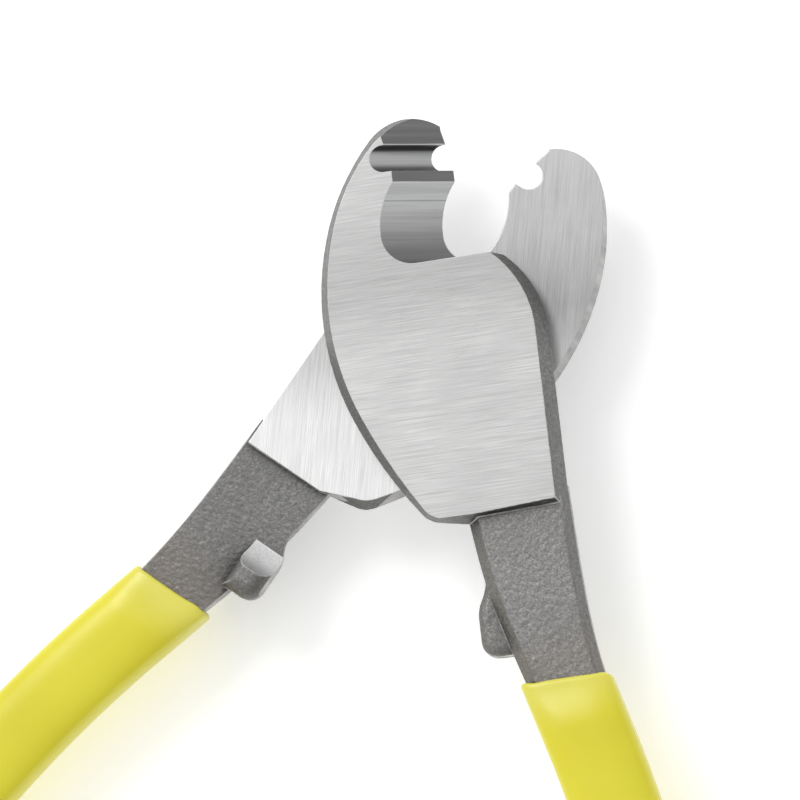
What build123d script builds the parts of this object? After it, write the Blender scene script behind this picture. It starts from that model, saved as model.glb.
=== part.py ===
from build123d import *
import os
from math import degrees, radians, tan

# Hand cable cutter: two lapped drop-forged levers, hooked bypass jaws, one pivot bolt, dipped grips.
# Both levers are one forging, the second one turned over. The forging is drawn as it lies when the
# tool is shut: tool axis on Y with the jaws towards +Y, its shear face on Z 0, its body above it.
# The part's origin is on the pivot axis, at the front lever's ground outer face, with +Z outwards.

# ---- stance ----
half_opening = 20.8      # degrees that each lever is turned from shut, in the rest pose
lap_gap = 0.10           # between the two shear faces

# ---- lever head ----
head_thick = 8.0         # shear face to ground outer face
parting_high = 3.5       # height of the forging's parting line over the shear face
inner_draft = 0.7        # how far the flank leans in from the parting line to the shear face
outer_draft = 2.4        # and to the ground outer face
head_right = 23.8        # head's straight side, on its handle's side
head_low = 44.9          # lower edge of the ground shear face, below the pivot
step_offset = 1.7        # the ground outer face ends this much higher
step_skew = 1.1          # and higher still at its handle's side
corner_rise = 3.9        # corner where the head's back turns into its lower edge
corner_start_x = -9.0
corner_end_x = -4.6
corner_end_rise = 1.4
corner_inner_draft = 1.6 # that corner leans in further, towards each face
corner_outer_draft = 0.4
low_edge_x = 3.0         # where that corner has run out into the lower edge
back_bulge = 26.6        # furthest reach of the jaw's back from the tool axis
back_widest_y = 5.0
back_top_in = 3.9        # how far the back has come in at its upper and lower ends
back_top_y = 27.5
back_low_in = 4.5
back_low_y = -17.6
jaw_high = 48.6          # pivot to the top of the jaw
shoulder_x = -11.6       # where the back has turned into the jaw's top
shoulder_drop = 3.2
tip_inner_rise = 0.5     # the shear face's outline stands this much higher at the tip
tip_overrun = 0.4        # the jaw's outline runs this far past the tip's flat
side_top_y = -4.0        # top of the head's straight side
crown_x = 12.0           # the head's side ends here, beside the mouth
crown_rise = 2.8

# ---- cutting edge, at the shear face ----
tip_edge_x = 4.2         # top of the tip's flat
tip_edge_y = 46.2
lip_x = 5.0              # lower end of the tip's flat, where the wire notch opens
lip_y = 42.7
wire_notch_r = 3.1
wire_notch_x = 4.5
wire_notch_y = lip_y - wire_notch_r
tooth_x = 6.1            # tooth between the wire notch and the cable notch
tooth_low_y = 33.9
cable_deep_x = 2.1       # deepest point of the cable notch
cable_deep_y = 22.0
cable_bow_x = 3.1        # a point half way down the notch's upper bow
cable_bow_y = 28.5
mouth_floor_y = 14.7     # floor of the cable notch and top of the head's ground face
bevel_run = 12.7         # how far the bevel runs back over the head's thickness

# ---- shank ----
shank_inner_recess = 1.2     # shank face below the shear face
shank_outer_recess = 1.5     # shank face below the ground outer face
shank_left_draft = 2.6       # how far its flanks lean in above the parting line
shank_right_draft = 1.6
shank_edge_r = 0.5           # worn-die rounding of the outer face's edges
shank_overlap = 6.0          # the shank starts this far inside the head
shank_root_left = 1.0        # shank edges, measured from the tool axis at the head
shank_root_rise = 1.9
shank_root_flare = 0.6
shank_waist_left = 3.5
shank_waist_right = 24.6
shank_waist_y = -59.5
shank_end_left = 9.7         # shank edges at the grip's mouth
shank_end_right = 27.2

# ---- closing stop ----
stop_gap = 1.1           # between the two stops with the tool drawn shut; they meet 0.8 degrees on
stop_low_y = -74.4
stop_wide = 9.0
stop_flow_x = 2.9        # its flank swings out of the shank's in a long S
stop_flow_y = -57.0
stop_flow_run = 8.4
stop_flank_run = 5.4     # straight part of the flank
stop_heel = 3.4          # its rounded lower corner
stop_reach = 4.0         # how far it stands past the shear face
stop_round_r = 3.2       # rounding of its crest
stop_back_r = 2.4        # rounding of its other side, towards the lever's outer face
wheel_start_y = -61.8    # where the grinding wheel runs out over the stop
wheel_run = 6.4
wheel_hollow = 0.5       # its facet is this much hollowed

# ---- handle under the grip ----
mouth_y = -81.5          # grip's mouth
handle_x = 18.55         # centre of the handle at the mouth
handle_lean = 15.6       # degrees outwards at the mouth
handle_bend_r = 300.0    # the handle curves back inwards
handle_straight = 14.0
handle_length = 118.0    # steel below the mouth, along its centre line
core_wide = 16.4
core_thick = 8.6
core_corner_r = 3.6
shank_corner_r = 1.0
core_start = 3.0         # the shank begins to swell this far below the mouth
core_taper = 12.0        # and has swollen to the core this far below it

# ---- grip ----
grip_wall = 1.55         # dipped vinyl along the handle
grip_end_wall = 3.0
grip_lip = 3.0           # how far the grip's sweep starts above the mouth's middle

# ---- pivot ----
bolt_r = 5.0
bolt_head_r = 8.5
bolt_running = 0.05      # radial clearance in the rear lever
bolt_tail = 1.4          # bolt past the nut
bolt_end_chamfer = 0.8
washer_r = 10.5
washer_bore_gap = 0.30   # radial, round the bolt
washer_thick = 1.6
washer_gap = 0.10
spring_r = 8.7
spring_bore_gap = 0.25
spring_thick = 2.2
spring_slit = 1.4
nut_flats = 16.0
nut_thick = 5.0
nut_chamfer = 0.8

rear_top = -head_thick - lap_gap                 # rear lever's shear face
rear_back = rear_top - head_thick                # rear lever's ground outer face
shank_low = shank_inner_recess
shank_high = head_thick - shank_outer_recess
core_mid = (shank_low + shank_high) / 2
stop_face = stop_gap / 2
clear_of_all = 40.0                              # cutting tools reach this far past the lever


def head_section(height, inset, top_inset, low_inset, corner_inset):
    """The head's outline at a height over the shear face, with the mouth still filled in.

    The insets are how far its sides, its top, its lower edge and its corner have leaned in."""
    low_y = -head_low + low_inset
    side_low_y = low_y + low_inset / step_offset * step_skew
    side_x = head_right - inset
    back_widest = (-back_bulge + inset, back_widest_y)
    back_top = (-back_bulge + back_top_in + inset, back_top_y)
    back_low = (-back_bulge + back_low_in + inset, back_low_y)
    shoulder_top = (shoulder_x + inset / 2, jaw_high - shoulder_drop - top_inset)
    tip_end = (tip_edge_x + tip_overrun, tip_edge_y - top_inset)
    corner_start = (corner_start_x + inset / 2, -head_low + corner_rise + corner_inset)
    corner_end = (corner_end_x, -head_low + corner_end_rise + corner_inset)
    side_top = (side_x, side_top_y)
    crown = (crown_x - inset, mouth_floor_y + crown_rise)
    with BuildSketch(Plane.XY.offset(height)) as section:
        with BuildLine():
            back = ThreePointArc(back_top, back_widest, back_low)
            shoulder = TangentArc(back_top, shoulder_top, tangent=(back % 0) * -1)
            TangentArc(shoulder_top, tip_end, tangent=shoulder % 1)
            heel = TangentArc(back_low, corner_start, tangent=back % 1)
            TangentArc(corner_start, corner_end, tangent=heel % 1)
            Line(corner_end, (low_edge_x, low_y))
            Line((low_edge_x, low_y), (side_x, side_low_y))
            Line((side_x, side_low_y), side_top)
            TangentArc(side_top, crown, tangent=(0, 1))
            Line(crown, tip_end)
        make_face()
    return section.sketch


def mouth_outline():
    """Everything on the open side of the cutting edge, at the shear face."""
    lip = (lip_x, lip_y)
    notch_top_y = wire_notch_y + wire_notch_r
    notch_low_y = wire_notch_y - wire_notch_r
    far_x = head_right + clear_of_all
    far_y = jaw_high + clear_of_all
    with BuildSketch() as outline:
        with BuildLine():
            Line((tip_edge_x, tip_edge_y), lip)
            Line(lip, (wire_notch_x, notch_top_y))
            ThreePointArc(
                (wire_notch_x, notch_top_y),
                (wire_notch_x - wire_notch_r, wire_notch_y),
                (wire_notch_x, notch_low_y),
            )
            Line((wire_notch_x, notch_low_y), (tooth_x, notch_low_y))
            Line((tooth_x, notch_low_y), (tooth_x, tooth_low_y))
            ThreePointArc(
                (tooth_x, tooth_low_y), (cable_bow_x, cable_bow_y), (cable_deep_x, cable_deep_y)
            )
            floor_r = cable_deep_y - mouth_floor_y
            floor = TangentArc(
                (cable_deep_x, cable_deep_y),
                (cable_deep_x + floor_r, mouth_floor_y),
                tangent=(0, -1),
            )
            Line(floor @ 1, (far_x, mouth_floor_y))
            Line((far_x, mouth_floor_y), (far_x, far_y))
            Line((far_x, far_y), (tip_edge_x, far_y))
            Line((tip_edge_x, far_y), (tip_edge_x, tip_edge_y))
        make_face()
    return outline.sketch


def shank_section(height, left_inset, right_inset):
    """The shank at a height over the shear face, from inside the head to below the grip's mouth."""
    root_y = -head_low + shank_overlap
    end_y = mouth_y - core_taper
    lean = core_taper * tan(radians(handle_lean))
    root_left = (shank_root_left - shank_root_flare + left_inset, root_y)
    root_right = (head_right - right_inset, root_y)
    end_left = (shank_end_left + lean + left_inset, end_y)
    end_right = (shank_end_right + lean - right_inset, end_y)
    with BuildSketch(Plane.XY.offset(height)) as section:
        with BuildLine():
            Spline(
                root_left,
                (shank_root_left + left_inset, -head_low + shank_root_rise),
                (shank_waist_left + left_inset, shank_waist_y),
                (shank_end_left + left_inset, mouth_y),
                end_left,
            )
            Line(end_left, end_right)
            Spline(
                end_right,
                (shank_end_right - right_inset, mouth_y),
                (shank_waist_right - right_inset, shank_waist_y),
                root_right,
            )
            Line(root_right, root_left)
        make_face()
    return section.sketch


def stop_outline():
    """The closing stop, whose straight flank lies beside the tool axis when the tool is shut."""
    flow_start = (stop_flow_x, stop_flow_y)
    flank_top = (stop_face, stop_flow_y - stop_flow_run)
    flank_low = (stop_face, stop_flow_y - stop_flow_run - stop_flank_run)
    with BuildSketch() as outline:
        with BuildLine():
            Line((stop_wide, stop_flow_y), flow_start)
            Spline(flow_start, flank_top, tangents=((0, -1), (0, -1)))
            Line(flank_top, flank_low)
            heel = TangentArc(flank_low, (stop_face + stop_heel, stop_low_y), tangent=(0, -1))
            Line(heel @ 1, (stop_wide, stop_low_y))
            Line((stop_wide, stop_low_y), (stop_wide, stop_flow_y))
        make_face()
    return outline.sketch


def wheel_outline():
    """Side view of what the grinding wheel takes off the stop, down to the shank's face."""
    far_z = -clear_of_all
    facet_start = (wheel_start_y, shank_low)
    facet_end = (wheel_start_y - wheel_run, -stop_reach)
    facet_middle = (
        wheel_start_y - wheel_run / 2 - wheel_hollow, (shank_low - stop_reach) / 2 + wheel_hollow,
    )
    with BuildSketch(Plane.YZ) as outline:
        with BuildLine():
            Line((0, shank_low), facet_start)
            ThreePointArc(facet_start, facet_middle, facet_end)
            Line(facet_end, (wheel_start_y - wheel_run, far_z))
            Line((wheel_start_y - wheel_run, far_z), (0, far_z))
            Line((0, far_z), (0, shank_low))
        make_face()
    return outline.sketch


def handle_point(distance):
    """A point on the handle's centre line, a distance below the mouth along its straight run."""
    lean = Vector(0, -1, 0).rotate(Axis.Z, handle_lean)
    return Vector(handle_x, mouth_y, core_mid) + lean * distance


def handle_section(distance, thick, wide, corner):
    """A rounded cross-section of the handle on its straight run."""
    along = handle_point(1) - handle_point(0)
    plane = Plane(handle_point(distance), x_dir=(0, 0, 1), z_dir=along)
    with BuildSketch(plane) as section:
        RectangleRounded(thick, wide, corner)
    return section.sketch


def handle_body(start, start_thick, start_wide, start_corner, thick, wide, corner, length):
    """A handle that swells to its full section over core_taper, then runs on and curves inwards."""
    bend = degrees((length - handle_straight) / handle_bend_r)
    with BuildPart() as handle:
        add(handle_section(start, start_thick, start_wide, start_corner))
        add(handle_section(core_taper, thick, wide, corner))
        loft()
        with BuildLine() as path:
            run = Line(handle_point(core_taper), handle_point(handle_straight))
            JernArc(start=run @ 1, tangent=run % 1, radius=handle_bend_r, arc_size=-bend)
        sweep(handle_section(core_taper, thick, wide, corner), path=path.wire())
    return handle.part


def shank_body():
    """The shank: straight flanks up to the parting line, and drafted above it."""
    with BuildPart() as shank:
        add(shank_section(shank_low, 0, 0))
        add(shank_section(parting_high, 0, 0))
        add(shank_section(shank_high, shank_left_draft, shank_right_draft))
        loft(ruled=True)
        fillet(shank.faces().sort_by(Axis.Z)[-1].edges(), shank_edge_r)
    return shank.part


def stop_body():
    """The closing stop: a half-round boss that reaches past the shear face."""
    with BuildPart() as stop:
        with BuildSketch(Plane.XY.offset(-stop_reach)):
            add(stop_outline())
        extrude(amount=stop_reach + parting_high)
        fillet(stop.faces().sort_by(Axis.Z)[0].edges(), stop_round_r)
        fillet(stop.faces().sort_by(Axis.Z)[-1].edges(), stop_back_r)
        extrude(wheel_outline(), amount=clear_of_all, both=True, mode=Mode.SUBTRACT)
    return stop.part


def forge_lever():
    """One lever as forged, trimmed and ground, without its pivot hole."""
    bevel = (-bevel_run, 0, head_thick)
    with BuildPart() as lever:
        add(head_section(0, inner_draft, -tip_inner_rise, 0, corner_inner_draft))
        add(head_section(parting_high, 0, 0, 0, 0))
        add(head_section(head_thick, outer_draft, outer_draft, step_offset, corner_outer_draft))
        loft(ruled=True)
        extrude(mouth_outline(), amount=clear_of_all, dir=bevel, both=True, mode=Mode.SUBTRACT)
        add(stop_body())
        add(shank_body())
        add(
            handle_body(
                core_start, shank_high - shank_low, core_wide, shank_corner_r,
                core_thick, core_wide, core_corner_r, handle_length,
            )
        )
    return lever.part


forging = forge_lever()
front_seat = Plane((0, 0, -head_thick), x_dir=Vector(1, 0, 0).rotate(Axis.Z, half_opening))
rear_seat = Plane(
    (0, 0, rear_top), x_dir=Vector(-1, 0, 0).rotate(Axis.Z, -half_opening), z_dir=(0, 0, -1)
)

# Front lever: its pivot hole is countersunk from the ground outer face, for the bolt's flush head.
with BuildPart() as front_lever:
    add(front_seat.location * forging)
    CounterSinkHole(bolt_r, bolt_head_r, depth=head_thick)

# Rear lever: the same forging turned over, with a plain bore that turns on the bolt.
with BuildPart() as rear_lever:
    add(rear_seat.location * forging)
    with Locations((0, 0, rear_top)):
        Hole(bolt_r + bolt_running, depth=head_thick)

# Grips: dipped vinyl sleeves, closed at the end, whose mouths are level when the tool is shut.
with BuildPart() as grip_blank:
    add(
        handle_body(
            -grip_lip, shank_high - shank_low + 2 * grip_wall, core_wide + 2 * grip_wall,
            shank_corner_r + grip_wall, core_thick + 2 * grip_wall, core_wide + 2 * grip_wall,
            core_corner_r + grip_wall, handle_length + grip_end_wall,
        )
    )
    end_rim = grip_blank.faces().sort_by(Axis.Y)[0]
    fillet(end_rim.edges(), grip_end_wall)
    split(bisect_by=Plane((0, mouth_y, 0), z_dir=(0, -1, 0)), keep=Keep.TOP)
    add(forging, mode=Mode.SUBTRACT)

with BuildPart() as front_grip:
    add(front_seat.location * grip_blank.part)

with BuildPart() as rear_grip:
    add(rear_seat.location * grip_blank.part)

# Pivot bolt: countersunk head pressed into the front lever and ground flush with it.
washer_top = rear_back - washer_gap
spring_top = washer_top - washer_thick
nut_top = spring_top - spring_thick
bolt_end = nut_top - nut_thick - bolt_tail
head_deep = bolt_head_r - bolt_r
with BuildPart() as pivot_bolt:
    with BuildSketch(Plane.XZ):
        Polygon(
            (0, 0), (bolt_head_r, 0), (bolt_r, -head_deep), (bolt_r, bolt_end + bolt_end_chamfer),
            (bolt_r - bolt_end_chamfer, bolt_end), (0, bolt_end), align=None,
        )
    revolve(axis=Axis.Z)

with BuildPart() as flat_washer:
    with BuildSketch(Plane.XY.offset(washer_top - washer_thick)):
        Circle(washer_r)
        Circle(bolt_r + washer_bore_gap, mode=Mode.SUBTRACT)
    extrude(amount=washer_thick)

# Spring washer: a ring with one cut, squeezed flat under the nut.
with BuildPart() as spring_washer:
    with BuildSketch(Plane.XY.offset(nut_top)):
        Circle(spring_r)
        Circle(bolt_r + spring_bore_gap, mode=Mode.SUBTRACT)
        with Locations((spring_r, 0)):
            Rectangle(2 * spring_r, spring_slit, mode=Mode.SUBTRACT)
    extrude(amount=spring_thick)

# Nut: hexagon with both faces' corners turned off.
with BuildPart() as pivot_nut:
    with BuildSketch(Plane.XY.offset(nut_top - nut_thick)):
        RegularPolygon(nut_flats / 2, 6, major_radius=False)
        Circle(bolt_r, mode=Mode.SUBTRACT)
    extrude(amount=nut_thick)
    corner_reach = nut_flats / 3**0.5
    face_reach = nut_flats / 2
    nut_low = nut_top - nut_thick
    with BuildSketch(Plane.XZ):
        Polygon(
            (0, nut_top), (face_reach, nut_top), (corner_reach, nut_top - nut_chamfer),
            (corner_reach, nut_low + nut_chamfer), (face_reach, nut_low), (0, nut_low), align=None,
        )
    revolve(axis=Axis.Z, mode=Mode.INTERSECT)

front_lever.part.label = "front_lever"
rear_lever.part.label = "rear_lever"
front_grip.part.label = "front_grip"
rear_grip.part.label = "rear_grip"
pivot_bolt.part.label = "pivot_bolt"
flat_washer.part.label = "flat_washer"
spring_washer.part.label = "spring_washer"
pivot_nut.part.label = "pivot_nut"

os.makedirs("parts", exist_ok=True)
export_step(front_lever.part, "parts/front_lever.step")
export_step(rear_lever.part, "parts/rear_lever.step")
export_step(front_grip.part, "parts/front_grip.step")
export_step(rear_grip.part, "parts/rear_grip.step")
export_step(pivot_bolt.part, "parts/pivot_bolt.step")
export_step(flat_washer.part, "parts/flat_washer.step")
export_step(spring_washer.part, "parts/spring_washer.step")
export_step(pivot_nut.part, "parts/pivot_nut.step")
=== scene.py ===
from math import cos, radians, sin

import bmesh
import bpy
import numpy as np
from mathutils import Matrix, Vector


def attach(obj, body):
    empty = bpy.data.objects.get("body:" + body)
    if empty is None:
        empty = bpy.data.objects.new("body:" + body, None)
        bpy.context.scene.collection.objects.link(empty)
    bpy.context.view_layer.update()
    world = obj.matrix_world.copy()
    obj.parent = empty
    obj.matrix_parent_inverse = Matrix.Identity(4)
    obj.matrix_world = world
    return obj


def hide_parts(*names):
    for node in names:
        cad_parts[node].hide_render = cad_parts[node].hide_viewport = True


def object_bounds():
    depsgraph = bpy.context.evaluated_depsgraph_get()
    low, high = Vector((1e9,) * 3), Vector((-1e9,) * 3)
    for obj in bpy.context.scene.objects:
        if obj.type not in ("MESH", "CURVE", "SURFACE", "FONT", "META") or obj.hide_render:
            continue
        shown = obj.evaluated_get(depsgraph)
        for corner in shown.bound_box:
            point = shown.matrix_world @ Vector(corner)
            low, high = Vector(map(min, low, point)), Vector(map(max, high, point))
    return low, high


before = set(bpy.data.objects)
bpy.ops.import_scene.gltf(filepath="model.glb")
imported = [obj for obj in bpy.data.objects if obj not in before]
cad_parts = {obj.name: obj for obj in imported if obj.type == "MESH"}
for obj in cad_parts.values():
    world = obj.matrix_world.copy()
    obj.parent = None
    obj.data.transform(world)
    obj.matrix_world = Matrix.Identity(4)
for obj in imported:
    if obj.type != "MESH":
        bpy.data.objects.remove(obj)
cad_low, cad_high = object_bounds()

# ---- Camera ----
# The tool lies on its back. The camera looks down on its ground face, a little from the right and
# from the handles' side, and is rolled so that the front handle hangs nearly straight down.
LOOK_AT = Vector((-0.0061, -0.0171, -0.008))
DISTANCE = 1.0
LEAN_RIGHT = radians(13.46)
LEAN_DOWN = radians(-7.86)
ROLL = radians(14.34)
SENSOR = 36.0
LENS_PER_SENSOR = 5.6125

towards = Vector((
    sin(LEAN_RIGHT) * cos(LEAN_DOWN), sin(LEAN_DOWN), cos(LEAN_RIGHT) * cos(LEAN_DOWN),
))
across = Vector((0, 1, 0)).cross(towards).normalized()
upward = towards.cross(across)
right = cos(ROLL) * across + sin(ROLL) * upward
up = -sin(ROLL) * across + cos(ROLL) * upward
camera_data = bpy.data.cameras.new("camera")
camera_data.sensor_width = SENSOR
camera_data.lens = SENSOR * LENS_PER_SENSOR
camera = bpy.data.objects.new("camera", camera_data)
camera.matrix_world = (
    Matrix.Translation(LOOK_AT + DISTANCE * towards)
    @ Matrix((right, up, towards)).transposed().to_4x4()
)
bpy.context.scene.collection.objects.link(camera)
bpy.context.scene.camera = camera

# ---- Bench and light ----
# A plain pale bench top just under the nut, one broad soft lamp from the upper left, and a studio
# that is bright overhead and duller to the right, so that slanted steel reads darker than flat.
BENCH_REACH = 3.0
BENCH_DROP = 0.0002
BENCH_COLOUR = (0.94, 0.94, 0.94, 1)
BENCH_GLOW = 0.30
LAMP_PLACE = Vector((-0.75, 0.55, 1.1))
LAMP_SIZE = 0.55
LAMP_WATTS = 6.0
STUDIO_BRIGHT = (0.86, 0.86, 0.86, 1)
STUDIO_DULL = (0.40, 0.405, 0.415, 1)


def link(name, mesh):
    """A new object at the origin that shows a mesh."""
    thing = bpy.data.objects.new(name, mesh)
    bpy.context.scene.collection.objects.link(thing)
    return thing


def new_material(name):
    """A material with nodes; gives it, its node tree and its Principled shader."""
    material = bpy.data.materials.new(name)
    material.use_nodes = True
    return material, material.node_tree, material.node_tree.nodes["Principled BSDF"]


def node(tree, kind, settings=None, **values):
    """A shader node of a kind, with its settings and with its inputs set or linked by name."""
    made = tree.nodes.new(kind)
    for name, value in (settings or {}).items():
        setattr(made, name, value)
    for name, value in values.items():
        key = int(name[1:]) if name[0] == "_" and name[1:].isdigit() else name.replace("_", " ")
        if isinstance(value, bpy.types.NodeSocket):
            tree.links.new(value, made.inputs[key])
        else:
            made.inputs[key].default_value = value
    return made


bench_z = cad_low[2] - BENCH_DROP
bench_mesh = bpy.data.meshes.new("bench")
bench_mesh.from_pydata(
    [(x * BENCH_REACH, y * BENCH_REACH, bench_z) for x, y in ((-1, -1), (1, -1), (1, 1), (-1, 1))],
    [], [(0, 1, 2, 3)],
)
bench = link("bench", bench_mesh)
bench_paint, tree, shader = new_material("bench_paint")
shader.inputs["Base Color"].default_value = BENCH_COLOUR
shader.inputs["Roughness"].default_value = 0.8
shader.inputs["Emission Color"].default_value = (1, 1, 1, 1)
shader.inputs["Emission Strength"].default_value = BENCH_GLOW
bench_mesh.materials.append(bench_paint)

lamp_data = bpy.data.lights.new("lamp", "AREA")
lamp_data.size = LAMP_SIZE
lamp_data.energy = LAMP_WATTS
lamp = bpy.data.objects.new("lamp", lamp_data)
lamp.matrix_world = (
    Matrix.Translation(LAMP_PLACE) @ LAMP_PLACE.to_track_quat("Z", "Y").to_matrix().to_4x4()
)
bpy.context.scene.collection.objects.link(lamp)

studio = bpy.data.worlds.new("studio")
studio.use_nodes = True
bpy.context.scene.world = studio
tree = studio.node_tree
sky = node(tree, "ShaderNodeTexCoord")
facing_right = node(
    tree, "ShaderNodeVectorMath", {"operation": "DOT_PRODUCT"},
    _0=sky.outputs["Generated"], _1=(0.86, -0.28, -0.35),
)
side = node(
    tree, "ShaderNodeMapRange", {"interpolation_type": "SMOOTHSTEP"},
    Value=facing_right.outputs["Value"], From_Min=-0.25, From_Max=0.75,
)
sky_colour = node(
    tree, "ShaderNodeMix", {"data_type": "RGBA"},
    _0=side.outputs["Result"], _6=STUDIO_BRIGHT, _7=STUDIO_DULL,
)
tree.links.new(sky_colour.outputs[2], tree.nodes["Background"].inputs["Color"])
bpy.context.scene.view_settings.view_transform = "Standard"

# ---- Front lever ----
# A drop forging of carbon steel. Its flash is trimmed off along the lower half of its flanks, its
# head is ground flat on both faces, and its jaw's bevels are milled; the shank keeps its scale.
LEAN = radians(20.8)
HEAD_THICK = 0.008
LAP_GAP = 0.0001
PARTING_HIGH = 0.0035
HEAD_LOW = -0.0452
LEVEL_WITHIN = 0.00001
GRIP_TOP = -0.0840
MOUTH_FLOOR = 0.0140
MOUTH_LEFT = -0.0212
BOLT_HEAD_RADIUS = 0.0085
SCOOP_TOP = -0.0616
SCOOP_LOW = -0.0684
BEVEL_DIRECTION = np.array((-0.8461, 0.0, 0.5330))
SCOOP_DIRECTION = np.array((0, 0.7071, -0.7071))
# How a face's unit normal has to lie for its finish, and the margins in metres around it.
UPRIGHT_UNDER = 0.3
LEFTWARD_UNDER = -0.97
BEVEL_WITHIN = 0.02
SCOOP_OVER = 0.8
SCOOP_TURN = 0.05
HEAD_MARGIN = 0.0001
MERGE_WITHIN = 1e-6
TINY = 1e-20
# The longest edge of a forged face, and the rolling height that is laid on it.
FACET = 0.0005
PEBBLE_DEPTH = 0.000022
PEBBLE_SHORT = 0.0009
PEBBLE_LONG = 0.0021
PEBBLE_WAVES = 70
DRAG = 0.5
SMOOTH_UNDER = radians(32)
GROUND, MILLED, TRIMMED, FORGED = range(4)


def closed_frame(points, turned_over):
    """Points of a lever in its forging's own frame: tool axis on Y, shear face on z 0."""
    x, y, z = np.asarray(points, float).T
    x = -x if turned_over else x
    depth = -HEAD_THICK - LAP_GAP - z if turned_over else z + HEAD_THICK
    return np.stack((x * cos(LEAN) + y * sin(LEAN), y * cos(LEAN) - x * sin(LEAN), depth), axis=1)


def pebbles(points, seed):
    """Rolling height: the sum of sine waves with random directions, lengths and phases."""
    random = np.random.default_rng(seed)
    directions = random.normal(size=(PEBBLE_WAVES, 3))
    directions /= np.linalg.norm(directions, axis=1)[:, None]
    lengths = random.uniform(PEBBLE_SHORT, PEBBLE_LONG, PEBBLE_WAVES)
    phases = random.uniform(0, 2 * np.pi, PEBBLE_WAVES)
    angles = points @ (directions / lengths[:, None]).T * 2 * np.pi + phases
    return np.sin(angles).sum(axis=1) / np.sqrt(PEBBLE_WAVES / 2)


def face_normals(points, corners):
    """Unit normal and area of each triangle, from the cross product of two of its sides."""
    a, b, c = points[corners[:, 0]], points[corners[:, 1]], points[corners[:, 2]]
    cross = np.cross(b - a, c - a)
    size = np.linalg.norm(cross, axis=1)
    return cross / np.maximum(size, TINY)[:, None], size / 2


def lever_zones(points, corners, turned_over):
    """The finish of each face of a lever, from where it lies and how it faces on the forging."""
    own = closed_frame(points, turned_over)
    x, y, z = own[corners].mean(axis=1).T
    heights = own[corners][:, :, 2]
    facing = face_normals(own, corners)[0]
    upright = np.abs(facing[:, 2]) < UPRIGHT_UNDER
    zones = np.full(len(x), FORGED)
    zones[upright & (z > 0) & (z < PARTING_HIGH)] = TRIMMED
    zones[upright & (z <= 0) & (facing[:, 0] < LEFTWARD_UNDER)] = TRIMMED
    cut_along = np.abs(facing @ BEVEL_DIRECTION) < BEVEL_WITHIN
    zones[cut_along & (y > MOUTH_FLOOR) & (x > MOUTH_LEFT)] = MILLED
    for height in (0, HEAD_THICK):
        level = (np.abs(heights - height) < LEVEL_WITHIN).all(axis=1)
        zones[level & (y > HEAD_LOW)] = GROUND
    zones[np.hypot(x, y) < BOLT_HEAD_RADIUS + HEAD_MARGIN] = GROUND
    hollow = (facing @ SCOOP_DIRECTION > SCOOP_OVER) & (np.abs(facing[:, 0]) < SCOOP_TURN)
    zones[hollow & (y < SCOOP_TOP) & (y > SCOOP_LOW)] = GROUND
    return zones


def halve_edges(points, corners, zones, marked_faces, longest):
    """Splits every edge over a length on the marked faces at its middle, and each face with it.

    A face with one, two or three split edges becomes two, three or four faces of its finish."""
    sides = np.stack((corners, np.roll(corners, -1, axis=1)), axis=2)
    ends, which = np.unique(np.sort(sides.reshape(-1, 2), axis=1), axis=0, return_inverse=True)
    which = which.reshape(-1, 3)
    lengths = np.linalg.norm(points[ends[:, 0]] - points[ends[:, 1]], axis=1)
    split = np.zeros(len(ends), bool)
    split[which[marked_faces].ravel()] = True
    split &= lengths > longest
    middle = np.full(len(ends), -1)
    middle[split] = len(points) + np.arange(split.sum())
    points = np.concatenate((points, points[ends[split]].mean(axis=1)))
    cut = split[which]
    count = cut.sum(axis=1)
    first_cut, first_whole = cut.argmax(axis=1), (~cut).argmax(axis=1)
    turn = np.where(count == 1, first_cut, np.where(count == 2, first_whole + 1, 0))
    order = (np.arange(3) + turn[:, None]) % 3
    a, b, c = np.take_along_axis(corners, order, axis=1).T
    ab, bc, ca = np.take_along_axis(middle[which], order, axis=1).T
    patterns = {
        0: ((a, b, c),),
        1: ((a, ab, c), (ab, b, c)),
        2: ((ab, b, bc), (a, ab, bc), (a, bc, c)),
        3: ((a, ab, ca), (ab, b, bc), (ca, bc, c), (ab, bc, ca)),
    }
    new_corners = [np.stack(f, axis=1)[count == n] for n, faces in patterns.items() for f in faces]
    new_zones = [zones[count == n] for n, faces in patterns.items() for f in faces]
    return points, np.concatenate(new_corners), np.concatenate(new_zones), bool(split.any())


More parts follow.
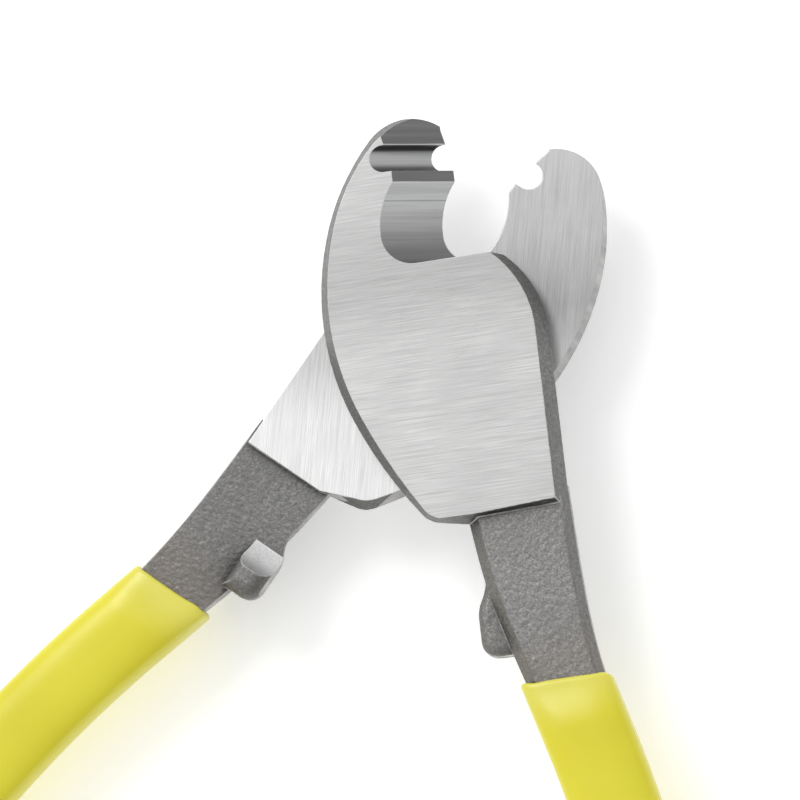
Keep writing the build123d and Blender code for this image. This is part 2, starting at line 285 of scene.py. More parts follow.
def lever_skin(name, cad_node, turned_over, seed):
    """A merged copy of a CAD lever whose forged faces are divided finely and pebbled.

    A vertex of a forged face above the grip moves along its mean forged normal by the noise. On the
    border of a ground face it moves by half of that, and only within that face; on a milled face it
    does not move."""
    work = bmesh.new()
    work.from_mesh(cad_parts[cad_node].data)
    bmesh.ops.remove_doubles(work, verts=work.verts, dist=MERGE_WITHIN)
    bmesh.ops.triangulate(work, faces=work.faces)
    mesh = bpy.data.meshes.new(name)
    work.to_mesh(mesh)
    work.free()
    points = np.empty(3 * len(mesh.vertices))
    mesh.vertices.foreach_get("co", points)
    points = points.reshape(-1, 3)
    corners = np.empty(3 * len(mesh.polygons), int)
    mesh.polygons.foreach_get("vertices", corners)
    corners = corners.reshape(-1, 3)
    zones = lever_zones(points, corners, turned_over)
    more = True
    while more:
        rows = closed_frame(points[corners].mean(axis=1), turned_over)[:, 1]
        rough = (zones == FORGED) & (rows > GRIP_TOP)
        points, corners, zones, more = halve_edges(points, corners, zones, rough, FACET)
    own = closed_frame(points, turned_over)
    facing, area = face_normals(points, corners)
    rough = zones == FORGED
    push = np.zeros((len(points), 3))
    np.add.at(push, corners[rough].ravel(), np.repeat((facing * area[:, None])[rough], 3, axis=0))
    push /= np.maximum(np.linalg.norm(push, axis=1), TINY)[:, None]
    finished = np.zeros(len(points), bool)
    finished[corners[~rough].ravel()] = True
    push[finished, 2] = 0
    push[finished] *= DRAG
    push[own[:, 1] < GRIP_TOP] = 0
    milled = np.zeros(len(points), bool)
    milled[corners[zones == MILLED].ravel()] = True
    push[milled] = 0
    points = points + push * (PEBBLE_DEPTH * pebbles(own, seed))[:, None]
    mesh.clear_geometry()
    mesh.from_pydata(points, [], corners)
    mesh.polygons.foreach_set("material_index", zones)
    mesh.polygons.foreach_set("use_smooth", np.ones(len(corners), bool))
    mesh.update()
    mesh.set_sharp_from_angle(angle=SMOOTH_UNDER)
    edge_of = np.empty(len(mesh.loops), int)
    mesh.loops.foreach_get("edge_index", edge_of)
    lowest = np.full(len(mesh.edges), FORGED)
    highest = np.zeros(len(mesh.edges), int)
    np.minimum.at(lowest, edge_of, np.repeat(zones, 3))
    np.maximum.at(highest, edge_of, np.repeat(zones, 3))
    sharp = np.empty(len(mesh.edges), bool)
    mesh.attributes["sharp_edge"].data.foreach_get("value", sharp)
    mesh.attributes["sharp_edge"].data.foreach_set("value", sharp | (lowest != highest))
    return link(name, mesh)


def new_group(name, inputs, outputs):
    """A shader node group with float or vector inputs and outputs; gives its tree and its ends."""
    group = bpy.data.node_groups.new(name, "ShaderNodeTree")
    for label, value in inputs.items():
        kind = "NodeSocketFloat" if isinstance(value, float) else "NodeSocketVector"
        socket = group.interface.new_socket(label, in_out="INPUT", socket_type=kind)
        socket.default_value = value
    for label, kind in outputs.items():
        group.interface.new_socket(label, in_out="OUTPUT", socket_type=kind)
    return group, group.nodes.new("NodeGroupInput"), group.nodes.new("NodeGroupOutput")


# Abrasive lines: noise stretched along X, in a fine and a broad layer.
brush_lines, given, result = new_group(
    "brush_lines", {"Vector": (0, 0, 0), "Along": 90.0, "Across": 2600.0},
    {"Fine": "NodeSocketFloat", "Broad": "NodeSocketFloat"},
)
stretch = node(
    brush_lines, "ShaderNodeCombineXYZ",
    X=given.outputs["Along"], Y=given.outputs["Across"], Z=given.outputs["Across"],
)
drawn = node(
    brush_lines, "ShaderNodeVectorMath", {"operation": "MULTIPLY"},
    _0=given.outputs["Vector"], _1=stretch.outputs["Vector"],
)
fine = node(
    brush_lines, "ShaderNodeTexNoise", Vector=drawn.outputs[0],
    Scale=1.0, Detail=5.0, Roughness=0.7,
)
broad = node(
    brush_lines, "ShaderNodeTexNoise", Vector=drawn.outputs[0],
    Scale=0.17, Detail=3.0, Roughness=0.6,
)
brush_lines.links.new(fine.outputs[0], result.inputs["Fine"])
brush_lines.links.new(broad.outputs[0], result.inputs["Broad"])

# Edges for wear and a painted highlight: how far a rounded-off normal turns away from the face's
# own, and that normal.
edge_wear_and_glint, given, result = new_group(
    "edge_wear_and_glint", {"Width": 0.0002, "Clear of axis": 0.0},
    {"Mask": "NodeSocketFloat", "Normal": "NodeSocketVector"},
)
spot = node(edge_wear_and_glint, "ShaderNodeTexCoord")
flat_spot = node(
    edge_wear_and_glint, "ShaderNodeVectorMath", {"operation": "MULTIPLY"},
    _0=spot.outputs["Object"], _1=(1, 1, 0),
)
off_axis = node(edge_wear_and_glint, "ShaderNodeVectorMath", {"operation": "LENGTH"}, _0=flat_spot.outputs[0])
outside = node(
    edge_wear_and_glint, "ShaderNodeMath", {"operation": "GREATER_THAN"},
    _0=off_axis.outputs["Value"], _1=given.outputs["Clear of axis"],
)
radius = node(
    edge_wear_and_glint, "ShaderNodeMath", {"operation": "MULTIPLY"},
    _0=given.outputs["Width"], _1=outside.outputs[0],
)
rounded = node(edge_wear_and_glint, "ShaderNodeBevel", {"samples": 6}, Radius=radius.outputs[0])
face = node(edge_wear_and_glint, "ShaderNodeNewGeometry")
agree = node(
    edge_wear_and_glint, "ShaderNodeVectorMath", {"operation": "DOT_PRODUCT"},
    _0=rounded.outputs[0], _1=face.outputs["Normal"],
)
edge = node(
    edge_wear_and_glint, "ShaderNodeMapRange", Value=agree.outputs["Value"],
    From_Min=0.995, From_Max=0.86, To_Min=0.0, To_Max=1.0,
)
edge_wear_and_glint.links.new(edge.outputs[0], result.inputs["Mask"])
edge_wear_and_glint.links.new(rounded.outputs[0], result.inputs["Normal"])


def use(tree, group, **values):
    """A node that places a node group, with its inputs set or linked by name."""
    placed = tree.nodes.new("ShaderNodeGroup")
    placed.node_tree = group
    for name, value in values.items():
        if isinstance(value, bpy.types.NodeSocket):
            tree.links.new(value, placed.inputs[name])
        else:
            placed.inputs[name.replace("_", " ")].default_value = value
    return placed


def lines_along(tree, direction, upwards):
    """Object coordinates, turned so that X runs along a direction and Z towards another."""
    x = Vector(direction).normalized()
    y = Vector(upwards).cross(x).normalized()
    turn = Matrix((x, y, x.cross(y))).to_euler("XYZ")
    place = node(tree, "ShaderNodeTexCoord")
    return node(tree, "ShaderNodeMapping", Vector=place.outputs["Object"], Rotation=turn)


def ramp(tree, value, stops):
    """A colour ramp from a value, with stops of place and colour."""
    made = node(tree, "ShaderNodeValToRGB", Fac=value)
    while len(made.color_ramp.elements) < len(stops):
        made.color_ramp.elements.new(0.5)
    for element, (place, colour) in zip(made.color_ramp.elements, stops):
        element.position = place
        element.color = (*colour, 1)
    return made.outputs["Color"]


def blend(tree, amount, one, other, how="MIX"):
    """Two colours mixed by an amount."""
    made = node(tree, "ShaderNodeMix", {"data_type": "RGBA", "blend_type": how}, _0=amount)
    for slot, colour in ((6, one), (7, other)):
        if isinstance(colour, bpy.types.NodeSocket):
            tree.links.new(colour, made.inputs[slot])
        else:
            made.inputs[slot].default_value = (*colour, 1)
    return made.outputs[2]


def mapped(tree, value, low, high, to_low, to_high):
    """A value carried from one range to another."""
    return node(
        tree, "ShaderNodeMapRange", Value=value,
        From_Min=low, From_Max=high, To_Min=to_low, To_Max=to_high,
    ).outputs[0]


FACE_LOW = -0.050
FACE_HIGH = 0.050


def ground_steel(name, direction, pale, dull, depth, axis, painted_shade_stops):
    """Bright steel with the lines of an abrasive belt, cloudy patches, and a burr on its edges
    lightened by a painted highlight.

    Along one axis the face is made lighter and darker by stops of place and grey: painted shade,
    with a painted shadow on the rear jaw beside the front head."""
    material, tree, shader = new_material(name)
    place = lines_along(tree, direction, (0, 0, 1))
    lines = use(tree, brush_lines, Vector=place.outputs[0], Along=70.0, Across=4200.0)
    cloud = node(
        tree, "ShaderNodeTexNoise", Vector=place.outputs[0], Scale=55.0, Detail=3.0, Distortion=0.6,
    )
    tone = blend(tree, mapped(tree, lines.outputs["Fine"], 0.3, 0.7, 0, 1), dull, pale)
    # Painted shade: the face is made lighter and darker by place along one axis.
    along = node(tree, "ShaderNodeSeparateXYZ", Vector=place.outputs[0]).outputs[axis]
    painted_shade = ramp(tree, mapped(tree, along, FACE_LOW, FACE_HIGH, 0.0, 1.0), [
        ((y - FACE_LOW) / (FACE_HIGH - FACE_LOW), (grey, grey, grey)) for y, grey in painted_shade_stops
    ])
    tone = blend(tree, 1.0, tone, painted_shade, "MULTIPLY")
    scratch = use(tree, brush_lines, Vector=place.outputs[0], Along=25.0, Across=1300.0)
    scored = mapped(tree, scratch.outputs["Fine"], 0.60, 0.72, 0.0, 0.35)
    tone = blend(tree, scored, tone, tuple(0.6 * c for c in dull))
    patch = mapped(tree, cloud.outputs[0], 0.35, 0.7, 0.0, 0.35)
    tone = blend(tree, patch, tone, dull)
    streak = mapped(tree, lines.outputs["Broad"], 0.5, 0.75, 0.0, 0.25)
    tone = blend(tree, streak, tone, tuple(0.78 * c for c in dull))
    # Edges lightened for a burr and a painted highlight.
    wear_and_glint = use(tree, edge_wear_and_glint, Width=0.00022, Clear_of_axis=0.0095)
    tone = blend(tree, wear_and_glint.outputs["Mask"], tone, (0.86, 0.86, 0.85))
    tree.links.new(tone, shader.inputs["Base Color"])
    shader.inputs["Metallic"].default_value = 0.92
    roughness = mapped(tree, lines.outputs["Broad"], 0.3, 0.7, 0.30, 0.46)
    tree.links.new(roughness, shader.inputs["Roughness"])
    bump = node(
        tree, "ShaderNodeBump", Strength=0.35, Distance=depth,
        Height=lines.outputs["Fine"], Normal=wear_and_glint.outputs["Normal"],
    )
    tree.links.new(bump.outputs[0], shader.inputs["Normal"])
    return material


MOUTH_LOW_Y = 0.014
MOUTH_HIGH_Y = 0.048
# Painted shade and painted highlights up the mouth: pairs of a height and a grey.
MOUTH_PAINTED_LIGHT = (
    (0.0147, 0.19), (0.0185, 0.23), (0.0220, 0.40), (0.0270, 0.74), (0.0297, 0.80), (0.0299, 0.38),
    (0.0301, 0.80), (0.0337, 0.84), (0.0339, 1.00), (0.0341, 0.24), (0.0363, 0.27), (0.0367, 0.10),
    (0.0378, 0.17), (0.0390, 0.60), (0.0406, 0.76), (0.0414, 0.45), (0.0419, 0.06), (0.0426, 0.07),
    (0.0428, 1.00), (0.0430, 0.23), (0.0475, 0.27),
)


def milled_steel(name, direction, upwards):
    """Steel left by a form cutter, streaked along its travel, with painted shade and painted
    highlights in bands up the mouth.
    """
    material, tree, shader = new_material(name)
    place = lines_along(tree, direction, upwards)
    lines = use(tree, brush_lines, Vector=place.outputs[0], Along=90.0, Across=3000.0)
    height = node(tree, "ShaderNodeSeparateXYZ", Vector=place.outputs[0]).outputs["Z"]
    ragged = mapped(tree, lines.outputs["Fine"], 0.2, 0.8, -0.0001, 0.0001)
    height = node(tree, "ShaderNodeMath", {"operation": "ADD"}, _0=height, _1=ragged).outputs[0]
    # Painted shade and highlights in bands by height up the mouth.
    place_up = mapped(tree, height, MOUTH_LOW_Y, MOUTH_HIGH_Y, 0.0, 1.0)
    tone = ramp(tree, place_up, [
        ((y - MOUTH_LOW_Y) / (MOUTH_HIGH_Y - MOUTH_LOW_Y), (grey, grey, grey))
        for y, grey in MOUTH_PAINTED_LIGHT
    ])
    streak = ramp(tree, lines.outputs["Broad"], ((0.3, (0.72, 0.72, 0.72)), (0.7, (1.0, 1.0, 1.0))))
    tone = blend(tree, 1.0, tone, streak, "MULTIPLY")
    # Edges lightened for wear and a painted highlight.
    wear_and_glint = use(tree, edge_wear_and_glint, Width=0.00016)
    tone = blend(tree, mapped(tree, wear_and_glint.outputs["Mask"], 0, 1, 0, 0.6), tone, (0.7, 0.7, 0.69))
    tree.links.new(tone, shader.inputs["Base Color"])
    shader.inputs["Metallic"].default_value = 0.85
    tree.links.new(
        mapped(tree, lines.outputs["Broad"], 0.3, 0.7, 0.55, 0.42), shader.inputs["Roughness"]
    )
    bump = node(
        tree, "ShaderNodeBump", Strength=0.6, Distance=0.00003,
        Height=lines.outputs["Fine"], Normal=wear_and_glint.outputs["Normal"],
    )
    tree.links.new(bump.outputs[0], shader.inputs["Normal"])
    return material


def forged_steel(name, dimming):
    """Forging scale: grey pebbled faces, smoother flanks darkened as painted shade, rubbed crests
    with a painted highlight, and painted shade in corners.
    """
    material, tree, shader = new_material(name)
    place = node(tree, "ShaderNodeTexCoord")
    grain = node(
        tree, "ShaderNodeTexNoise", Vector=place.outputs["Object"], Scale=1900.0, Detail=4.0,
        Roughness=0.6, Distortion=0.4,
    )
    pits = node(
        tree, "ShaderNodeTexVoronoi", {"feature": "SMOOTH_F1"}, Vector=place.outputs["Object"],
        Scale=1300.0,
    )
    patches = node(
        tree, "ShaderNodeTexNoise", Vector=place.outputs["Object"], Scale=90.0, Detail=4.0,
    )
    tone = ramp(tree, grain.outputs[0], (
        (0.30, (0.17, 0.168, 0.164)), (0.52, (0.255, 0.252, 0.246)), (0.74, (0.36, 0.355, 0.345)),
    ))
    cloudy = mapped(tree, patches.outputs[0], 0.4, 0.7, 0, 0.45)
    tone = blend(tree, cloudy, tone, (0.18, 0.178, 0.173))
    pitted = mapped(tree, pits.outputs[0], 0.45, 0.1, 0, 0.3)
    tone = blend(tree, pitted, tone, (0.13, 0.128, 0.124))
    # Painted shade: steep faces darkened by how far their normal leans from upright.
    upright = node(tree, "ShaderNodeSeparateXYZ", Vector=place.outputs["Normal"]).outputs["Z"]
    level = node(tree, "ShaderNodeMath", {"operation": "ABSOLUTE"}, _0=upright).outputs[0]
    painted_flank_shade = mapped(tree, level, 0.85, 0.55, 0.0, 0.32)
    tone = blend(tree, painted_flank_shade, tone, (0.085, 0.084, 0.082))
    tone = blend(tree, dimming, tone, (0.075, 0.074, 0.072))
    away = node(tree, "ShaderNodeVectorMath", {"operation": "LENGTH"}, _0=place.outputs["Object"])
    brown = mapped(tree, away.outputs["Value"], 0.068, 0.090, 0.0, 0.4)
    tone = blend(tree, brown, tone, (0.21, 0.165, 0.125))
    # Painted shade in corners and beside walls, from ambient occlusion.
    corner = node(
        tree, "ShaderNodeAmbientOcclusion", {"samples": 8, "only_local": True}, Distance=0.0075,
    )
    painted_corner_shade = mapped(tree, corner.outputs["AO"], 0.70, 0.97, 0.92, 0.0)
    tone = blend(tree, painted_corner_shade, tone, (0.035, 0.034, 0.033))
    # Crests lightened: rubbed wear with a painted highlight, patchy along them.
    wear_and_glint = use(tree, edge_wear_and_glint, Width=0.0006)
    rubbed_and_glint = node(
        tree, "ShaderNodeMath", {"operation": "MULTIPLY"}, _0=wear_and_glint.outputs["Mask"],
        _1=mapped(tree, patches.outputs[0], 0.35, 0.6, 0.25, 1.0),
    )
    tone = blend(tree, rubbed_and_glint.outputs[0], tone, (0.85, 0.84, 0.82))
    tree.links.new(tone, shader.inputs["Base Color"])
    shader.inputs["Metallic"].default_value = 0.8
    tree.links.new(mapped(tree, grain.outputs[0], 0.3, 0.7, 0.50, 0.34), shader.inputs["Roughness"])
    bump = node(
        tree, "ShaderNodeBump", Strength=0.7, Distance=0.00018,
        Height=grain.outputs[0], Normal=wear_and_glint.outputs["Normal"],
    )
    tree.links.new(bump.outputs[0], shader.inputs["Normal"])
    return material


def trimmed_steel(name):
    """The sheared band where the flash was cut off: smoother grey with upright drag marks."""
    material, tree, shader = new_material(name)
    place = lines_along(tree, (0, 0, 1), (1, 0, 0))
    lines = use(tree, brush_lines, Vector=place.outputs[0], Along=200.0, Across=1800.0)
    tone = ramp(tree, lines.outputs["Broad"], (
        (0.3, (0.30, 0.298, 0.295)), (0.7, (0.52, 0.518, 0.51)),
    ))
    # Edges lightened for wear and a painted highlight.
    wear_and_glint = use(tree, edge_wear_and_glint, Width=0.00025)
    tone = blend(tree, wear_and_glint.outputs["Mask"], tone, (0.7, 0.69, 0.68))
    tree.links.new(tone, shader.inputs["Base Color"])
    shader.inputs["Metallic"].default_value = 0.85
    shader.inputs["Roughness"].default_value = 0.42
    bump = node(
        tree, "ShaderNodeBump", Strength=0.6, Distance=0.00006,
        Height=lines.outputs["Fine"], Normal=wear_and_glint.outputs["Normal"],
    )
    tree.links.new(bump.outputs[0], shader.inputs["Normal"])
    return material


def turn_direction(direction, turned_over):
    """A direction of the forging's frame, as it lies on the opened lever."""
    x, y, z = direction
    x, y = x * cos(LEAN) - y * sin(LEAN), x * sin(LEAN) + y * cos(LEAN)
    return (-x, y, -z) if turned_over else (x, y, z)


front_lever = lever_skin("front_lever_forging", "front_lever", False, seed=3)
FRONT_LINE_DEPTH = 0.00003
# Painted shade on the front ground face: stops of place and grey, darker towards the jaw.
FRONT_PAINTED_SHADE = (
    (-0.045, 1.0), (-0.020, 0.98), (-0.004, 0.93), (0.009, 0.72), (0.017, 0.70), (0.030, 0.80),
)
front_ground = ground_steel(
    "front_ground_steel", turn_direction((1, 0, 0), False), (0.72, 0.72, 0.713), (0.42, 0.42, 0.42),
    FRONT_LINE_DEPTH, "Y", FRONT_PAINTED_SHADE,
)
front_scale = forged_steel("front_forging_scale", 0.0)
sheared_steel = trimmed_steel("sheared_flash_band")
front_milled = milled_steel(
    "front_milled_bevel", turn_direction(BEVEL_DIRECTION, False), turn_direction((0, 1, 0), False)
)
for finish in (front_ground, front_milled, sheared_steel, front_scale):
    front_lever.data.materials.append(finish)
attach(front_lever, "front_half")
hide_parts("front_lever")

# ---- Rear lever ----
# The same forging turned over, so its shear face looks at the front lever's. Its abrasive lines
# run lengthwise, and its inner face is what shows beside the front head and between the jaws.
rear_lever = lever_skin("rear_lever_forging", "rear_lever", True, seed=8)
REAR_LINES = (0.5, 0.87, 0)
REAR_LINE_DEPTH = 0.000025
# Painted shade on the rear ground face: stops of place and grey, bright on the plate, darker on the
# jaw, darkest in a painted shadow beside the front head.
REAR_PAINTED_SHADE = (
    (-0.040, 1.0), (-0.022, 0.95), (-0.010, 0.70), (0.008, 0.42), (0.022, 0.55), (0.045, 0.58),
)
rear_ground = ground_steel(
    "rear_ground_steel", turn_direction(REAR_LINES, True), (0.90, 0.90, 0.895), (0.56, 0.56, 0.56),
    REAR_LINE_DEPTH, "X", REAR_PAINTED_SHADE,
)
rear_milled = milled_steel(
    "rear_milled_bevel", turn_direction(BEVEL_DIRECTION, True), turn_direction((0, 1, 0), True)
)
rear_scale = forged_steel("rear_forging_scale", 0.35)
for finish in (rear_ground, rear_milled, sheared_steel, rear_scale):
    rear_lever.data.materials.append(finish)
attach(rear_lever, "rear_half")
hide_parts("rear_lever")

# ---- Grips ----
# Soft yellow vinyl, dipped over each handle in a thick even coat that closes round its end. The
# coat is cut level at the mouth, where its edge is rolled and a little wavy.
MOUTH_Y = -0.0815
HANDLE_X = 0.01855
HANDLE_Z = 0.00385
HANDLE_LEAN = radians(15.6)
BEND_RADIUS = 0.300
STRAIGHT_RUN = 0.014
COAT_END = 0.121
HALF_WIDE = 0.00975
HALF_THICK = 0.00585
MOUTH_HALF_THICK = 0.0042
SWELL_RUN = 0.012
SQUARENESS = 3.0
MOUTH_SQUARENESS = 4.4
END_RADIUS = 0.0030
# Rings of the rounded end and of the cap, whose section draws in from CAP_START to CAP_END.
END_RINGS = 10
CAP_RINGS = 6
CAP_START = 0.0004
CAP_END = 0.00275
# How strongly points gather at the corners, and the run near the mouth that is levelled and wavy.
BUNCHING = 0.10
LEVELLED_RUN = 0.03
WAVE_HEIGHT = 0.00016
AROUND = 128
ALONG = 150
# Each pair is a distance along the handle and how far the section is drawn in there.
RIM = np.array([
    (0.0040, 0.00150), (0.0015, 0.00146), (0.0004, 0.00138), (0.00008, 0.00112),
    (0.0, 0.00078), (0.00008, 0.00042), (0.00035, 0.00014), (0.0008, 0.0),
])
WALL_START = 0.0014
SAME_POINT = 1e-7


def coat_section(around, half_thick, squareness, shrink):
    """Offsets across and through the handle: a crowned rectangle, drawn in by shrink.

    It is a superellipse, whose cosine and sine are raised to two over its squareness."""
    c, s = np.cos(around), np.sin(around)
    bow = 2 / squareness
    across = np.sign(c) * np.abs(c) ** bow * (HALF_WIDE - shrink)
    return across, np.sign(s) * np.abs(s) ** bow * (half_thick - shrink)


def handle_line(distance):
    """Centre and outward direction of the handle: a straight run, then an arc back inwards."""
    bend = np.maximum(distance - STRAIGHT_RUN, 0) / BEND_RADIUS
    run = np.minimum(distance, STRAIGHT_RUN)
    lean = HANDLE_LEAN - bend
    x = HANDLE_X + run * sin(HANDLE_LEAN) + BEND_RADIUS * (np.cos(lean) - cos(HANDLE_LEAN))
    y = MOUTH_Y - run * cos(HANDLE_LEAN) - BEND_RADIUS * (sin(HANDLE_LEAN) - np.sin(lean))
    return x, y, lean


def tube_faces(rings, around):
    """Quads between rings of points that follow one another, each ring closed on itself."""
    i, j = np.meshgrid(np.arange(rings - 1), np.arange(around), indexing="ij")
    k = (j + 1) % around
    return np.stack((
        i * around + j, (i + 1) * around + j, (i + 1) * around + k, i * around + k,
    ), axis=-1).reshape(-1, 4)


def smooth_skin(name, points, faces):
    """A smooth mesh from points and faces, its doubled points merged and its normals outwards."""
    mesh = bpy.data.meshes.new(name)
    mesh.from_pydata(points, [], faces)
    work = bmesh.new()
    work.from_mesh(mesh)
    bmesh.ops.remove_doubles(work, verts=work.verts, dist=SAME_POINT)
    bmesh.ops.recalc_face_normals(work, faces=work.faces)
    work.to_mesh(mesh)
    work.free()
    mesh.polygons.foreach_set("use_smooth", np.ones(len(mesh.polygons), bool))
    mesh.update()
    return mesh


def grip(name, turned_over, seed):
    """A coat carried down the handle's line: mouth rim, outer wall, rounded end, closing cap.

    Rows are pairs of a distance along the handle and a shrink of the section. The mouth's rows
    are slid along so that the rim lies in one level plane of the shut tool."""
    wall_rows = np.linspace(WALL_START, COAT_END - END_RADIUS, ALONG)
    wall = np.stack((wall_rows, np.zeros(ALONG)), axis=1)
    turn = np.linspace(0, np.pi / 2, END_RINGS)[1:]
    end = np.stack((
        COAT_END - END_RADIUS * (1 - np.sin(turn)), END_RADIUS * (1 - np.cos(turn)),
    ), axis=1)
    cap_shrink = END_RADIUS + np.linspace(CAP_START, CAP_END, CAP_RINGS)
    cap = np.stack((np.full(CAP_RINGS, COAT_END), cap_shrink), axis=1)
    rows = np.concatenate((RIM, wall, end, cap))
    distance, shrink = rows[:, :1], rows[:, 1:]
    around = np.linspace(0, 2 * np.pi, AROUND, endpoint=False)[None, :]
    around = around - BUNCHING * np.sin(4 * around)
    swell = np.clip(distance / SWELL_RUN, 0, 1)
    swell = swell * swell * (3 - 2 * swell)
    half_thick = MOUTH_HALF_THICK + (HALF_THICK - MOUTH_HALF_THICK) * swell
    squareness = MOUTH_SQUARENESS + (SQUARENESS - MOUTH_SQUARENESS) * swell
    across, through = coat_section(around, half_thick, squareness, shrink)
    fade = np.clip(1 - distance / LEVELLED_RUN, 0, 1)
    distance = distance + fade * across * np.tan(HANDLE_LEAN)
    waves = np.sin(3 * around + seed) + np.sin(7 * around) / 2 + 1.5
    distance = distance + fade**2 * WAVE_HEIGHT * waves
    x, y, lean = handle_line(distance)
    x, y, z = x + across * np.cos(lean), y + across * np.sin(lean), HANDLE_Z + through
    row_x, row_y = x * cos(LEAN) - y * sin(LEAN), x * sin(LEAN) + y * cos(LEAN)
    if turned_over:
        points = np.stack((-row_x, row_y, -HEAD_THICK - LAP_GAP - z), axis=-1).reshape(-1, 3)
    else:
        points = np.stack((row_x, row_y, z - HEAD_THICK), axis=-1).reshape(-1, 3)
    centre = points[-AROUND:].mean(axis=0)
    last = (len(rows) - 1) * AROUND + np.arange(AROUND)
    lid = np.stack((last, np.full(AROUND, len(points)), np.roll(last, -1)), axis=1)
    points = np.concatenate((points, centre[None]))
    faces = tube_faces(len(rows), AROUND).tolist() + lid.tolist()
    return link(name, smooth_skin(name, points, faces))


def dipped_vinyl(name):
    """Yellow vinyl: satin skin with soft dipping runs, tiny specks, and a paler thin mouth."""
    material, tree, shader = new_material(name)
    place = node(tree, "ShaderNodeTexCoord")
    runs = node(
        tree, "ShaderNodeTexNoise", Vector=place.outputs["Object"], Scale=42.0, Detail=2.0,
    )
    skin = node(
        tree, "ShaderNodeTexNoise", Vector=place.outputs["Object"], Scale=900.0, Detail=3.0,
    )
    specks = node(
        tree, "ShaderNodeTexVoronoi", Vector=place.outputs["Object"], Scale=210.0, Randomness=1.0,
    )
    soft_runs = mapped(tree, runs.outputs[0], 0.35, 0.65, 0, 1)
    tone = blend(tree, soft_runs, (0.73, 0.655, 0.012), (0.77, 0.70, 0.020))
    away = node(tree, "ShaderNodeVectorMath", {"operation": "LENGTH"}, _0=place.outputs["Object"])
    thin = mapped(tree, away.outputs["Value"], 0.0945, 0.0865, 0.0, 0.5)
    tone = blend(tree, thin, tone, (0.78, 0.74, 0.16))
    speck = mapped(tree, specks.outputs[0], 0.06, 0.03, 0.0, 0.5)
    tone = blend(tree, speck, tone, (0.85, 0.82, 0.35))
    tree.links.new(tone, shader.inputs["Base Color"])
    shader.inputs["Subsurface Weight"].default_value = 0.25
    shader.inputs["Subsurface Radius"].default_value = (0.004, 0.003, 0.0008)
    shader.inputs["Subsurface Scale"].default_value = 0.5
    shader.inputs["Coat Weight"].default_value = 0.35
    shader.inputs["Coat Roughness"].default_value = 0.25
    tree.links.new(mapped(tree, skin.outputs[0], 0.3, 0.7, 0.30, 0.42), shader.inputs["Roughness"])
    ripple = node(
        tree, "ShaderNodeBump", Strength=0.5, Distance=0.0006, Height=runs.outputs[0],
    )
    bump = node(
        tree, "ShaderNodeBump", Strength=0.25, Distance=0.00004, Height=skin.outputs[0],
        Normal=ripple.outputs[0],
    )
    tree.links.new(bump.outputs[0], shader.inputs["Normal"])
    return material


vinyl = dipped_vinyl("dipped_vinyl")
for name, cad_node, body, turned_over, seed in (
    ("front_dipped_grip", "front_grip", "front_half", False, 2),
    ("rear_dipped_grip", "rear_grip", "rear_half", True, 5),
):
    coat = grip(name, turned_over, seed)
    coat.data.materials.append(vinyl)
    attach(coat, body)
    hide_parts(cad_node)

# ---- Pivot bolt ----
# An M10 countersunk bolt of alloy steel, pressed into the front lever and ground flush together
# with it, so its head all but vanishes. Its rolled thread ends in a chamfer past the nut.
BOLT_RADIUS = 0.0050
# Down the bolt: the radii of the head's disc, then the cone, the plain shank and the thread.
HEAD_DISC_RADII = (0.0, 0.0040, 0.0083, BOLT_HEAD_RADIUS)
CONE_START = (0.0083, -0.0002)
CONE_LOW = -0.0035
CONE_RINGS = 5
SHANK_START = -0.0045
SHANK_RINGS = 4
THREAD_DEPTH = 0.00055
THREAD_PITCH = 0.0015
THREAD_TOP = -0.0165
THREAD_START = THREAD_TOP - 0.0001
THREAD_RINGS = 96
CREST_OFFSET = 1.15
GROOVE_SLOPE = 1.35
BOLT_END = -0.0264
END_RADII = (0.0037, 0.0018, 0.0)
END_CHAMFER = 0.0008
BOLT_AROUND = 96


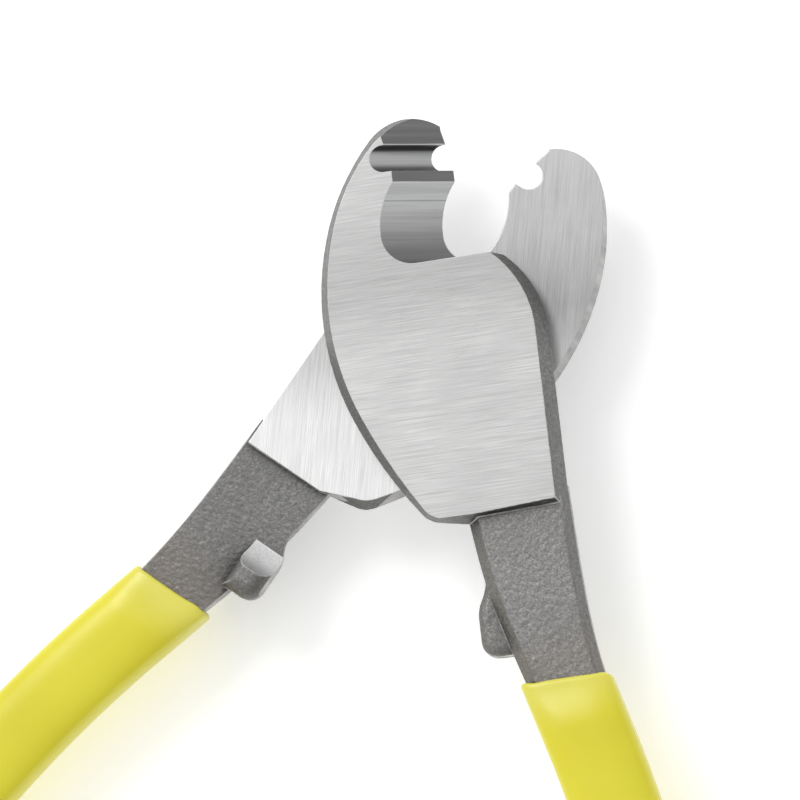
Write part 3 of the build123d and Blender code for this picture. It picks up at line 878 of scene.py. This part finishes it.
def pivot_bolt():
    """Rings of a radius that depends on height and angle: head disc, cone, shank, thread, end.

    Along the thread the radius follows a triangle wave of height plus turn, one pitch a turn."""
    heights = np.concatenate((
        np.zeros(len(HEAD_DISC_RADII)), np.linspace(CONE_START[1], CONE_LOW, CONE_RINGS),
        np.linspace(SHANK_START, THREAD_TOP, SHANK_RINGS),
        np.linspace(THREAD_START, BOLT_END, THREAD_RINGS), np.full(len(END_RADII), BOLT_END),
    ))
    radii = np.concatenate((
        HEAD_DISC_RADII, np.linspace(CONE_START[0], BOLT_RADIUS, CONE_RINGS),
        np.full(SHANK_RINGS + THREAD_RINGS, BOLT_RADIUS), END_RADII,
    ))
    around = np.linspace(0, 2 * np.pi, BOLT_AROUND, endpoint=False)
    z, angle = np.meshgrid(heights, around, indexing="ij")
    radius = np.repeat(radii[:, None], BOLT_AROUND, axis=1)
    phase = (z / THREAD_PITCH + angle / (2 * np.pi)) % 1
    groove = np.clip(CREST_OFFSET - np.abs(2 * phase - 1) * GROOVE_SLOPE, 0, 1)
    run_in = np.clip((THREAD_TOP - z) / THREAD_PITCH, 0, 1)
    threaded = (z < THREAD_TOP) & (z > BOLT_END)
    radius = np.where(threaded, radius - THREAD_DEPTH * groove * run_in, radius)
    limit = BOLT_RADIUS - np.clip(END_CHAMFER - (z - BOLT_END), 0, END_CHAMFER)
    radius = np.where(z < THREAD_TOP, np.minimum(radius, limit), radius)
    points = np.stack((radius * np.cos(angle), radius * np.sin(angle), z), axis=-1).reshape(-1, 3)
    mesh = smooth_skin("pivot_bolt_turned", points, tube_faces(len(heights), BOLT_AROUND))
    mesh.set_sharp_from_angle(angle=SMOOTH_UNDER)
    return link("pivot_bolt_turned", mesh)


bolt = pivot_bolt()
bolt.data.materials.append(front_ground)
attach(bolt, "front_half")
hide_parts("pivot_bolt")

# ---- Nut and washers ----
# A zinc-plated hexagon nut, a split spring washer and a flat washer, stacked on the back. They are
# stamped or turned from bar, and the plating leaves a cool, slightly mottled shine.


def zinc_plate(name, warmth):
    """Bright zinc: cool grey with fine spangle, a faint straw tint, and rubbed edges lightened by a
    painted highlight.
    """
    material, tree, shader = new_material(name)
    place = node(tree, "ShaderNodeTexCoord")
    spangle = node(
        tree, "ShaderNodeTexNoise", Vector=place.outputs["Object"], Scale=1400.0, Detail=4.0,
    )
    tint = node(
        tree, "ShaderNodeTexNoise", Vector=place.outputs["Object"], Scale=160.0, Detail=2.0,
    )
    tone = ramp(tree, spangle.outputs[0], (
        (0.35, (0.46, 0.47, 0.48)), (0.65, (0.66, 0.67, 0.68)),
    ))
    straw = mapped(tree, tint.outputs[0], 0.4, 0.7, 0, warmth)
    tone = blend(tree, straw, tone, (0.66, 0.61, 0.50))
    # Edges lightened for rubbed wear and a painted highlight.
    wear_and_glint = use(tree, edge_wear_and_glint, Width=0.0003)
    tone = blend(tree, wear_and_glint.outputs["Mask"], tone, (0.82, 0.82, 0.82))
    tree.links.new(tone, shader.inputs["Base Color"])
    shader.inputs["Metallic"].default_value = 0.95
    roughness = mapped(tree, spangle.outputs[0], 0.3, 0.7, 0.24, 0.38)
    tree.links.new(roughness, shader.inputs["Roughness"])
    bump = node(
        tree, "ShaderNodeBump", Strength=0.3, Distance=0.00004,
        Height=spangle.outputs[0], Normal=wear_and_glint.outputs["Normal"],
    )
    tree.links.new(bump.outputs[0], shader.inputs["Normal"])
    return material


for cad_node, warmth in (("pivot_nut", 0.35), ("flat_washer", 0.15), ("spring_washer", 0.55)):
    plating = zinc_plate(cad_node + "_zinc", warmth)
    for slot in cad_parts[cad_node].material_slots:
        slot.material = plating
